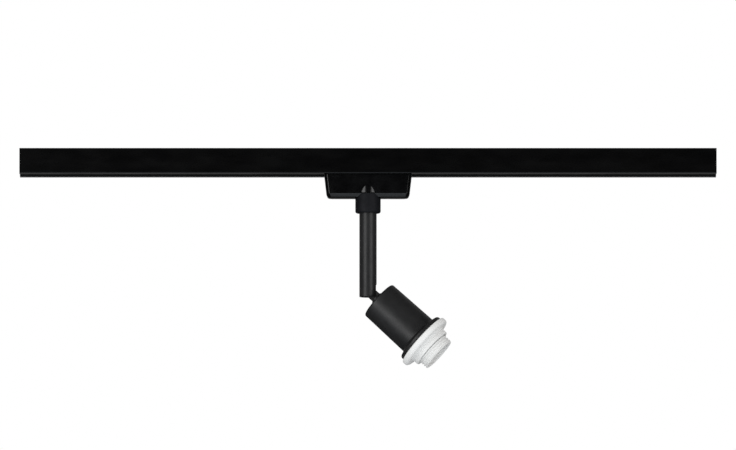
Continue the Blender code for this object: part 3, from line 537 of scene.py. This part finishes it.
HOUSING_BOTTOM_HALF = (29.5, 7.5)
HOUSING_CHAMFER = 1.9
HOUSING_EDGE = 1.5
HOUSING_FOOT = (2.0, 3.0)
HOUSING_FOOT_ROUNDS = (0.4, 1.8)
HOUSING_FOOT_ENDS = 10.0            # the foot turns in this many times less at the ends
HOUSING_END_ROUND = 2.1
HOUSING_WALL = 1.5
HOUSING_FLOOR = -29.6
HOUSING_CUT_EDGE = 0.18
HOUSING_CUT_ANGLE = 55.0
CAVITY_CHAMFER = 1.2
CAVITY_EDGE = 0.4
BOSS_RADIUS = 9.6
BOSS_ROOT = 1.55
BOSS_BELOW_TOP = 2.7
POCKET_TOP = -31.1
POCKET_RADIUS = 9.4
NIPPLE_RADIUS = 4.4
POST_RADIUS = 2.3
POST_ROOT = 0.5
POST_BELOW_TOP = 1.8
PILOT_RADIUS = 1.2
PILOT_PAST = 0.4
LEVER_SLOT = ((-14.9, 6.0), (14.9, 14.0))


def end_inset(z, low):
    """How far the round lower edge of the housing's ends has turned in at a height."""
    depth = max(0.0, low.z + HOUSING_END_ROUND - z)
    return HOUSING_END_ROUND - math.sqrt(max(0.0, HOUSING_END_ROUND ** 2 - depth ** 2))


def housing_section(z, low, high, insets, chamfer, edge):
    """A rectangle with chamfered corners, whose edges are slightly rounded."""
    share = (high.z - z) / (high.z - low.z)
    x, y = (top + (bottom - top) * share - inset
            for top, bottom, inset in zip((high.x, high.y), HOUSING_BOTTOM_HALF, insets))
    near = [(x, y - chamfer, edge), (x - chamfer, y, edge)]
    corners = near + [(-a, b, edge) for a, b, _ in reversed(near)]
    corners += [(-a, -b, edge) for a, b, _ in near]
    corners += [(a, -b, edge) for a, b, _ in reversed(near)]
    return [(a, b, z) for a, b in rounded(corners)]


def housing():
    """The drafted shell with a soft foot, a round boss over the collar and a slot for the lever."""
    low, high = size_of("adapter_housing")
    screw_low, screw_high = size_of("lid_screw_right")
    inward, upward = HOUSING_FOOT
    side = [(0.0, high.z, 0.0), (0.0, low.z + upward, HOUSING_FOOT_ROUNDS[0]),
            (inward, low.z, HOUSING_FOOT_ROUNDS[1]), (2.0 * inward, low.z, 0.0)]
    sections = []
    for inset, z in rounded(side, closed=False):
        insets = (end_inset(z, low) + inset / HOUSING_FOOT_ENDS, inset)
        sections.append(housing_section(z, low, high, insets, HOUSING_CHAMFER, HOUSING_EDGE))
    housing_shell = loft("adapter_shell", sections)
    join(housing_shell, along_z("boss", circle(BOSS_RADIUS, FINE),
                                HOUSING_FLOOR - BOSS_ROOT, high.z - BOSS_BELOW_TOP))
    walls = (HOUSING_WALL, HOUSING_WALL)
    cavity = loft("cavity", [housing_section(z, low, high, walls, CAVITY_CHAMFER, CAVITY_EDGE)
                             for z in (high.z + PAST, HOUSING_FLOOR)])
    lever_middle = (LEVER_PLATE[0] + LEVER_PLATE[1]) / 2.0
    half_slot = (LEVER_PLATE[1] - LEVER_PLATE[0]) / 2.0 + FIT
    cut(housing_shell, cavity,
        along_z("pocket", circle(POCKET_RADIUS, FINE), POCKET_TOP, low.z - FAR_PAST),
        along_z("nipple_hole", circle(NIPPLE_RADIUS + FIT),
                POCKET_TOP - PAST, HOUSING_FLOOR + 2.0 * PAST),
        along_z("lever_slot", rectangle(*LEVER_SLOT),
                lever_middle - half_slot, lever_middle + half_slot))
    for sign in (-1.0, 1.0):
        centre = (sign * (screw_low.x + screw_high.x) / 2.0, 0.0)
        join(housing_shell, along_z("post", circle(POST_RADIUS, MEDIUM, centre),
                                    HOUSING_FLOOR - POST_ROOT, high.z - POST_BELOW_TOP))
        cut(housing_shell, along_z("pilot", circle(PILOT_RADIUS, MEDIUM, centre),
                                   screw_low.z - PILOT_PAST, high.z))
    break_edges(housing_shell, HOUSING_CUT_EDGE, HOUSING_CUT_ANGLE)
    stand_for(housing_shell, "adapter_housing", sharp=CREASE_ANGLE)


LEVER_PLATE = (-23.0, -21.6)
LEVER_HUB = 8.0
LEVER_HOLE = 5.3
LEVER_FLAT = -4.3
LEVER_HALF_WIDTH = 2.5
LEVER_TAB = (18.2, 19.7)
LEVER_OVERLAP = 0.4
LEVER_CUT_EDGE = 0.2
LEVER_TURN = math.radians(-45.0)
TAB_ROUND = 0.5
TAB_RIDGES = 3
RIDGE_DEPTH = 0.35
RIDGE_ROUND = 0.12


def lever():
    """The lock lever: a flat arm with a ridged thumb tab outside the rear wall."""
    low, high = size_of("lock_lever")
    half = LEVER_HALF_WIDTH
    inner, outer = LEVER_TAB
    arm = rectangle((-half, 0.0), (half, inner + LEVER_OVERLAP))
    plate = along_z("lever_fine", circle(LEVER_HUB, FINE), *LEVER_PLATE)
    tab = [(-half, inner, TAB_ROUND), (half, inner, TAB_ROUND), (half, outer, TAB_ROUND)]
    pitch = 2.0 * half / (2 * TAB_RIDGES + 1)
    for i in range(2 * TAB_RIDGES):
        x = half - (i + 1) * pitch
        depth = RIDGE_DEPTH if i % 2 == 0 else 0.0
        tab += [(x, outer - RIDGE_DEPTH + depth, RIDGE_ROUND), (x, outer - depth, RIDGE_ROUND)]
    tab.append((-half, outer, TAB_ROUND))
    join(plate, along_z("arm", arm, *LEVER_PLATE), along_z("tab", rounded(tab), low.z, high.z))
    hole = [(x, y) for x, y in circle(LEVER_HOLE) if y > LEVER_FLAT]
    cut(plate, along_z("hole", hole, LEVER_PLATE[0] - PAST, LEVER_PLATE[1] + PAST))
    break_edges(plate, LEVER_CUT_EDGE)
    stand_for(plate, "lock_lever", Matrix.Rotation(LEVER_TURN, 4, "Z"))


# ---------------------------------------------------------------- arm

SHELF_Z = -36.0
TUBE_WALL = 1.0
TUBE_SLOT_HALF = 2.9
TUBE_SLOT_TOP = -96.65
TUBE_SLOT_ROUND = 1.2
TUBE_SLOT_START = 0.5
TUBE_SLOTTED = 14.0
TUBE_STEP = 12.0
TUBE_FOOT_EDGE = 0.45
SCREW_HOLE_RADIUS = 1.5
COLLAR_CUT_EDGE = 0.12
TUBE_CUT_EDGE = 0.15
SOCKET_WIDTH = 0.55                 # a screw's socket, as a share of its radius
SOCKET_FLOOR = 0.45                 # and its floor, as a share of its length


def screw_hole(node, start, end):
    """A cutter along the arm's Y, at the height of a screw."""
    low, high = size_of(node)
    centre = (0.0, (low.z + high.z) / 2.0)
    return along_y("screw_hole", circle(SCREW_HOLE_RADIUS, MEDIUM, centre), start, end)


def collar():
    """The collar under the adapter, with a broken top edge and a rolled lower one."""
    low, high = size_of("swivel_collar", ARM)
    radius = high.x
    socket = size_of("drop_tube", ARM)[1].y + FIT
    hole = NIPPLE_RADIUS + FIT
    profile = [(radius, high.z, 0.5), (radius, low.z, 1.3), (socket, low.z, 0.3),
               (socket, SHELF_Z, 0.2), (hole, SHELF_Z, 0.2), (hole, high.z, 0.3)]
    piece = lathe("collar_fine", rounded(profile))
    cut(piece, screw_hole("collar_set_screw", socket - PAST, radius + 2.0 * PAST))
    break_edges(piece, COLLAR_CUT_EDGE)
    stand_for(piece, "swivel_collar", ARM)


def tube():
    """The drop tube, slotted on one side at its lower end, with softened cut edges."""
    low, high = size_of("drop_tube", ARM)
    radius = high.y
    bore = radius - TUBE_WALL
    edge = low.z + TUBE_FOOT_EDGE
    outside = spaced((radius, high.z), (radius, low.z + TUBE_SLOTTED), TUBE_STEP)
    outside.append((radius, edge))
    outside += rounded([(radius, edge, 0.0), (radius, low.z, 0.4), (bore, low.z, 0.3),
                        (bore, low.z + 1.0, 0.0)], closed=False)[1:]
    piece = lathe("tube_fine", outside + [(bore, high.z)])
    slot = rectangle((-TUBE_SLOT_HALF, low.z - FAR_PAST), (TUBE_SLOT_HALF, TUBE_SLOT_TOP),
                     TUBE_SLOT_ROUND)
    cut(piece, along_x("slot", slot, TUBE_SLOT_START, radius + 3.0 * PAST),
        screw_hole("fork_screw", bore - 1.5 * PAST, radius + 2.0 * PAST))
    break_edges(piece, TUBE_CUT_EDGE)
    stand_for(piece, "drop_tube", ARM)


def socket_screw(node):
    """A small hexagon-socket screw that points along the arm's Y."""
    low, high = size_of(node, ARM)
    radius = (high.x - low.x) / 2.0
    height = high.y - low.y
    profile = [(0.0, height, 0.0), (radius, height, 0.25), (radius, 0.0, 0.3), (0.0, 0.0, 0.0)]
    screw = lathe(node + "_fine", rounded(profile, closed=False), MEDIUM, closed=False)
    cut(screw, along_z("socket", circle(radius * SOCKET_WIDTH, 6),
                       height * SOCKET_FLOOR, height + PAST))
    turn = Matrix.Rotation(math.radians(-90.0), 4, "X")
    centre = Vector((0.0, low.y, (low.z + high.z) / 2.0)) * MM
    stand_for(screw, node, ARM @ Matrix.Translation(centre) @ turn)


# ---------------------------------------------------------------- head

TONGUE_HALF_WIDTH = 3.8
TONGUE_HALF_THICKNESS = 1.7
TONGUE_OVERLAP = 0.2
TONGUE_EDGE = 0.4
TONGUE_EDGE_STEPS = 4
EYE_RADIUS = 1.8
EYE_REACH = 4.0
NECK_S = (8.0, 9.5)
STEM_RADIUS = 3.9
STEM_BORE = 2.0
STEM_BORE_START = 1.2


def down(points):
    """Head profile points, given as (radius, s) or (radius, s, rounding), with s as a height."""
    return [(radius, -s, *rest) for radius, s, *rest in points]


def helix(pitch, angle, s):
    """How far a point is through its turn of a right-hand thread, from 0 to 1."""
    return (s / pitch - angle / math.tau) % 1.0


def ridge(pitch, angle, s):
    """The height of a rounded right-hand thread at a point, from 0 to 1."""
    return 0.5 + 0.5 * math.cos(math.tau * helix(pitch, angle, s))


def knuckle():
    """The eye and tongue in the fork, the round neck under the cap and the stem inside it."""
    node = "knuckle_link"
    end = reach_of(node)[1]
    radius = size_of(node, HEAD)[1].y
    neck, stem = NECK_S
    outline = [(TONGUE_HALF_WIDTH * math.cos(angle), TONGUE_HALF_WIDTH * math.sin(angle))
               for angle in (math.pi * i / MEDIUM for i in range(MEDIUM + 1))]
    outline += [(-TONGUE_HALF_WIDTH, -neck - TONGUE_OVERLAP),
                (TONGUE_HALF_WIDTH, -neck - TONGUE_OVERLAP)]
    piece = along_y("knuckle_fine", outline, -TONGUE_HALF_THICKNESS, TONGUE_HALF_THICKNESS)
    break_edges(piece, TONGUE_EDGE, segments=TONGUE_EDGE_STEPS)
    bore_start = neck + STEM_BORE_START
    profile = [(0.0, neck, 0.0), (radius, neck, 0.5), (radius, stem, 0.2),
               (STEM_RADIUS, stem, 0.0), (STEM_RADIUS, end, 0.3), (STEM_BORE, end, 0.2),
               (STEM_BORE, bore_start, 0.0), (0.0, bore_start, 0.0)]
    join(piece, lathe("neck", rounded(down(profile), closed=False), MEDIUM, closed=False))
    cut(piece, along_y("eye", circle(EYE_RADIUS), -EYE_REACH, EYE_REACH))
    stand_for(piece, node, HEAD)


CAP_WALL = 1.2
CAP_TOP_RADIUS = 14.8
CAP_SKIRT_RADIUS = 15.4
CAP_SKIRT_S = 48.2
CAP_FLARE_S = CAP_SKIRT_S + 2.9


def cap():
    """The spun cap: a nearly flat top, a long slightly drafted skirt, a swept flare and a rim."""
    node = "lamp_cap"
    top, rim = reach_of(node)
    rim_radius = size_of(node, HEAD)[1].y
    rim_bore = rim_radius - CAP_WALL
    hole = STEM_RADIUS + FIT
    outer = [(hole, top, 0.3), (9.0, top + 0.15, 20.0), (CAP_TOP_RADIUS - 0.02, top + 0.55, 1.5),
             (CAP_SKIRT_RADIUS, CAP_SKIRT_S + 0.9, 1.1),
             (rim_radius - 0.3, CAP_FLARE_S - 0.6, 1.2), (rim_radius, rim, 0.25)]
    inner = [(rim_bore, rim, 0.2), (rim_bore, CAP_FLARE_S + 0.4, 0.4),
             (CAP_SKIRT_RADIUS - CAP_WALL, CAP_SKIRT_S + 2.4, 0.8),
             (CAP_TOP_RADIUS - CAP_WALL, top + CAP_WALL + 0.1, 0.8), (hole, top + CAP_WALL, 0.2)]
    stand_for(lathe("cap_fine", rounded(down(outer + inner))), node, HEAD)


RING_STEP_S = 57.9
RING_HUB_RADIUS = 15.4
RING_GAP = 0.35
RING_LIP = 0.6
RING_LIP_ROUND = 0.4
RING_WALL_STEP = 0.16
RING_THREAD_DEPTH = (RING_GAP - 0.05) * 0.5
THREAD_PITCH = 2.0
HAIR = 0.01


def ring():
    """The shade ring: a round-edged flange, a fillet and a hub, threaded inside."""
    node = "shade_ring"
    top, foot = reach_of(node)
    radius = size_of(node, HEAD)[1].y
    bore = size_of("lampholder_body", HEAD)[1].y + RING_GAP
    profile = rounded(down([(radius, top, 1.2), (radius, RING_STEP_S, 2.0),
                            (RING_HUB_RADIUS, RING_STEP_S, 1.7), (RING_HUB_RADIUS, foot, 0.8),
                            (bore, foot, RING_LIP_ROUND), (bore, top, RING_LIP_ROUND)]))
    wall_foot = -foot + RING_LIP
    wall_top = -top - RING_LIP
    inside = [point for point in profile if point[0] <= bore + RING_LIP_ROUND + HAIR]
    outside = [point for point in profile if point[0] > bore + RING_LIP_ROUND + HAIR]
    start = profile.index(outside[0])
    outside = [point for point in profile[start:] + profile[:start] if point in outside]
    lower_lip = [point for point in inside if point[1] < wall_foot]
    upper_lip = [point for point in inside if point[1] > wall_top]
    wall = spaced((bore, wall_foot), (bore, wall_top), RING_WALL_STEP)

    def thread(far, height, angle):
        if far > bore + HAIR:
            return far
        return far - RING_THREAD_DEPTH * ridge(THREAD_PITCH, angle, -height) ** 2

    piece = lathe("ring_fine", outside + lower_lip + wall + upper_lip, relief=thread)
    stand_for(piece, node, HEAD)


BARREL_JOINT_S = 36.3
BARREL_JOINT_STEP = 1.25
BARREL_INNER = 2.45
BARREL_FLOOR = 3.0
MOUTH_EDGE = 0.45
MOUTH_WALL = 2.25
MOUTH_DEPTH = 7.6
MOUTH_STEP = 1.0
THREAD_START_S = 49.5
THREAD_DEPTH = 0.8
THREAD_STEP = 0.14
THREAD_CREST = 0.8
SLOT_X = (3.7, -7.4)
SLOT_SIZE = (1.4, 3.8)
SLOT_ROUND = 0.3


def barrel():
    """The lampholder's lower half: a threaded barrel with a stepped mouth and a slotted floor."""
    node = "lampholder_body"
    top, mouth = reach_of(node)
    radius = size_of(node, HEAD)[1].y
    shell_radius = size_of("screw_shell", HEAD)[1].y + FIT
    floor_z = FIT - reach_of("screw_shell")[0]
    edge = -mouth + MOUTH_EDGE
    outer = rounded([(radius - BARREL_JOINT_STEP, -top, 0.0),
                     (radius - BARREL_JOINT_STEP, -BARREL_JOINT_S, 0.2),
                     (radius, -BARREL_JOINT_S, 0.3), (radius, -THREAD_START_S, 0.0)],
                    closed=False)
    outer += spaced((radius, -THREAD_START_S), (radius, edge), THREAD_STEP)[1:]
    mouth_radius = radius - MOUTH_WALL
    inner = rounded([(radius - 0.1, edge, 0.0), (radius - 0.65, -mouth, 0.25),
                     (mouth_radius, -mouth, 0.3), (mouth_radius - 0.2, -mouth + MOUTH_DEPTH, 0.3),
                     (shell_radius, -mouth + MOUTH_DEPTH + MOUTH_STEP, 0.3),
                     (shell_radius, floor_z, 0.3), (0.0, floor_z, 0.0)], closed=False)[1:]
    upper = [(0.0, floor_z + BARREL_FLOOR), (radius - BARREL_INNER, floor_z + BARREL_FLOOR),
             (radius - BARREL_INNER, -top)]

    def thread(far, height, angle):
        s = -height
        if far < radius - 0.05 or s <= THREAD_START_S:
            return far
        fade = min(1.0, (s - THREAD_START_S) / THREAD_PITCH, (mouth - 0.2 - s) / 0.6)
        crest = ridge(THREAD_PITCH, angle, s)
        return far - THREAD_DEPTH * max(fade, 0.0) * (1.0 - crest ** THREAD_CREST)

    piece = lathe("barrel_fine", upper + outer + inner, closed=False, relief=thread)
    width, depth = SLOT_SIZE
    slots = [along_z("contact_slot",
                     rectangle((x, -depth / 2.0), (x + width, depth / 2.0), SLOT_ROUND),
                     floor_z - 1.5 * PAST, floor_z + BARREL_FLOOR + 1.5 * PAST) for x in SLOT_X]
    cut(piece, *slots)
    stand_for(piece, node, HEAD)


SHELL_WALL = 0.4
SHELL_STEP = 0.16
SHELL_PITCH = 2.82
SHELL_DEPTH = 0.45


def shell():
    """The rolled brass screw shell for a small Edison screw cap."""
    node = "screw_shell"
    top, foot = reach_of(node)
    radius = size_of(node, HEAD)[1].y
    outside = spaced((radius, -top), (radius, -foot), SHELL_STEP)
    inside = spaced((radius - SHELL_WALL, -foot), (radius - SHELL_WALL, -top), SHELL_STEP)

    def thread(far, height, angle):
        return far - SHELL_DEPTH * ridge(SHELL_PITCH, angle, -height)

    stand_for(lathe("shell_fine", outside + inside, relief=thread), node, HEAD)


# ---------------------------------------------------------------- light and camera

VIEW_WIDTH = 528.2
LENS = 1000.0
SENSOR = 36.0
CLIP = (0.1, 100.0)                 # the view's depth, as shares of the camera's distance
ELEVATION = math.radians(-5.5)
AIM = Vector((0.0, 0.0, -53.86))
FLOOR_Z = -30.0
FLOOR_RADIUS = 1200.0


def look_from(obj, direction, distance):
    """Stand an object off the aim point, at a distance in metres, and turn it to face there."""
    away = Vector(direction).normalized()
    obj.location = AIM * MM + away * distance
    obj.rotation_mode = "QUATERNION"
    obj.rotation_quaternion = away.to_track_quat("Z", "Y")
    bpy.context.scene.collection.objects.link(obj)


def area_light(name, direction, distance, size, radiance, colour=(1.0, 1.0, 1.0)):
    """A soft box that faces the object from a direction."""
    data = bpy.data.lights.new(name, "AREA")
    data.shape = "RECTANGLE"
    data.size, data.size_y = size
    data.energy = radiance * math.pi * size[0] * size[1]
    data.color = colour
    light = bpy.data.objects.new(name, data)
    light.visible_camera = False
    look_from(light, direction, distance)


BEHIND_SPAN = (0.1, 0.9)            # where the room brightens towards the back
ABOVE_SPAN = (-0.45, 0.35)          # and upwards
DIM_ROOM = 0.02
BRIGHT_ROOM = 0.25
SOFT_FILL = 0.8                     # what matt surfaces get from the room
BACKGROUND = 1.0                    # what the camera sees


class Sky:
    """The world's nodes, with helpers for its brightness."""

    def __init__(self, name):
        world = bpy.data.worlds.new(name)
        bpy.context.scene.world = world
        world.use_nodes = True
        self.nodes = world.node_tree.nodes
        self.links = world.node_tree.links
        self.nodes.clear()

    def rise(self, source, start, end):
        """A value that rises smoothly from 0 at start to 1 at end."""
        ramp = self.nodes.new("ShaderNodeMapRange")
        ramp.interpolation_type = "SMOOTHSTEP"
        ramp.inputs["From Min"].default_value = start
        ramp.inputs["From Max"].default_value = end
        self.links.new(source, ramp.inputs["Value"])
        return ramp.outputs["Result"]

    def product(self, first, second):
        """Two values multiplied."""
        times = self.nodes.new("ShaderNodeMath")
        times.operation = "MULTIPLY"
        self.links.new(first, times.inputs[0])
        self.links.new(second, times.inputs[1])
        return times.outputs["Value"]

    def mix(self, factor, low, high):
        """Go from low, a number or an output, to the number high as a factor goes from 0 to 1."""
        mix = self.nodes.new("ShaderNodeMix")
        mix.data_type = "FLOAT"
        mix.inputs["B"].default_value = high
        if isinstance(low, float):
            mix.inputs["A"].default_value = low
        else:
            self.links.new(low, mix.inputs["A"])
        self.links.new(factor, mix.inputs["Factor"])
        return mix.outputs["Result"]

    def show(self, strength):
        """Let the world shine white with a strength."""
        background = self.nodes.new("ShaderNodeBackground")
        background.inputs["Color"].default_value = (1.0, 1.0, 1.0, 1.0)
        self.links.new(strength, background.inputs["Strength"])
        output = self.nodes.new("ShaderNodeOutputWorld")
        self.links.new(background.outputs["Background"], output.inputs["Surface"])


def studio():
    """White background, dim surroundings in front, brighter behind, and four soft boxes."""
    sky = Sky("studio")
    where = sky.nodes.new("ShaderNodeTexCoord")
    split = sky.nodes.new("ShaderNodeSeparateXYZ")
    sky.links.new(where.outputs["Generated"], split.inputs["Vector"])
    path = sky.nodes.new("ShaderNodeLightPath")
    behind = sky.rise(split.outputs["Y"], *BEHIND_SPAN)
    above = sky.rise(split.outputs["Z"], *ABOVE_SPAN)
    mirrored = sky.mix(sky.product(behind, above), DIM_ROOM, BRIGHT_ROOM)
    soft = sky.mix(path.outputs["Is Diffuse Ray"], mirrored, SOFT_FILL)
    sky.show(sky.mix(path.outputs["Is Camera Ray"], soft, BACKGROUND))
    area_light("left_box", (-0.63, -0.775, 0.05), 2.4, (1.25, 2.0), 2.3)
    area_light("low_box", (-0.47, -0.78, -0.42), 2.2, (1.2, 1.0), 0.8)
    area_light("right_box", (0.69, -0.72, 0.05), 2.4, (1.2, 1.8), 2.0)
    area_light("under_box", (0.0, -0.574, -0.819), 1.1, (1.6, 0.94), 0.95, (0.86, 0.93, 1.0))
    bpy.context.scene.view_settings.view_transform = "Standard"


def floor():
    """A pale floor well below the fitting and its camera."""
    shape = bmesh.new()
    bmesh.ops.create_circle(shape, cap_ends=True, segments=MEDIUM, radius=FLOOR_RADIUS / MM)
    piece = object_of("floor", shape)
    piece.location.z = FLOOR_Z
    look = Finish("floor", (0.78, 0.78, 0.78), 0.9)
    look.tint(look.noise(900.0), (0.80, 0.80, 0.80))
    piece.data.materials.append(look.material)
    piece.visible_glossy = False


def camera():
    """A long lens a little below the fitting, looking along +Y."""
    data = bpy.data.cameras.new("camera")
    data.lens = LENS
    data.sensor_width = SENSOR
    distance = VIEW_WIDTH * MM * LENS / SENSOR
    data.clip_start, data.clip_end = (distance * share for share in CLIP)
    eye = bpy.data.objects.new("camera", data)
    look_from(eye, (0.0, -math.cos(ELEVATION), math.sin(ELEVATION)), distance)
    bpy.context.scene.camera = eye


# ---------------------------------------------------------------- assembly

camera()
studio()
floor()

for node, cad in frame["nodes"].items():
    dress(cad, node)

rail()
track_liner("insulator_front", "conductor_live", -1.0)
track_liner("insulator_rear", "conductor_neutral", 1.0)
conductor("conductor_live")
conductor("conductor_neutral")
housing()
lever()
collar()
tube()
socket_screw("collar_set_screw")
socket_screw("fork_screw")
knuckle()
cap()
ring()
barrel()
shell()
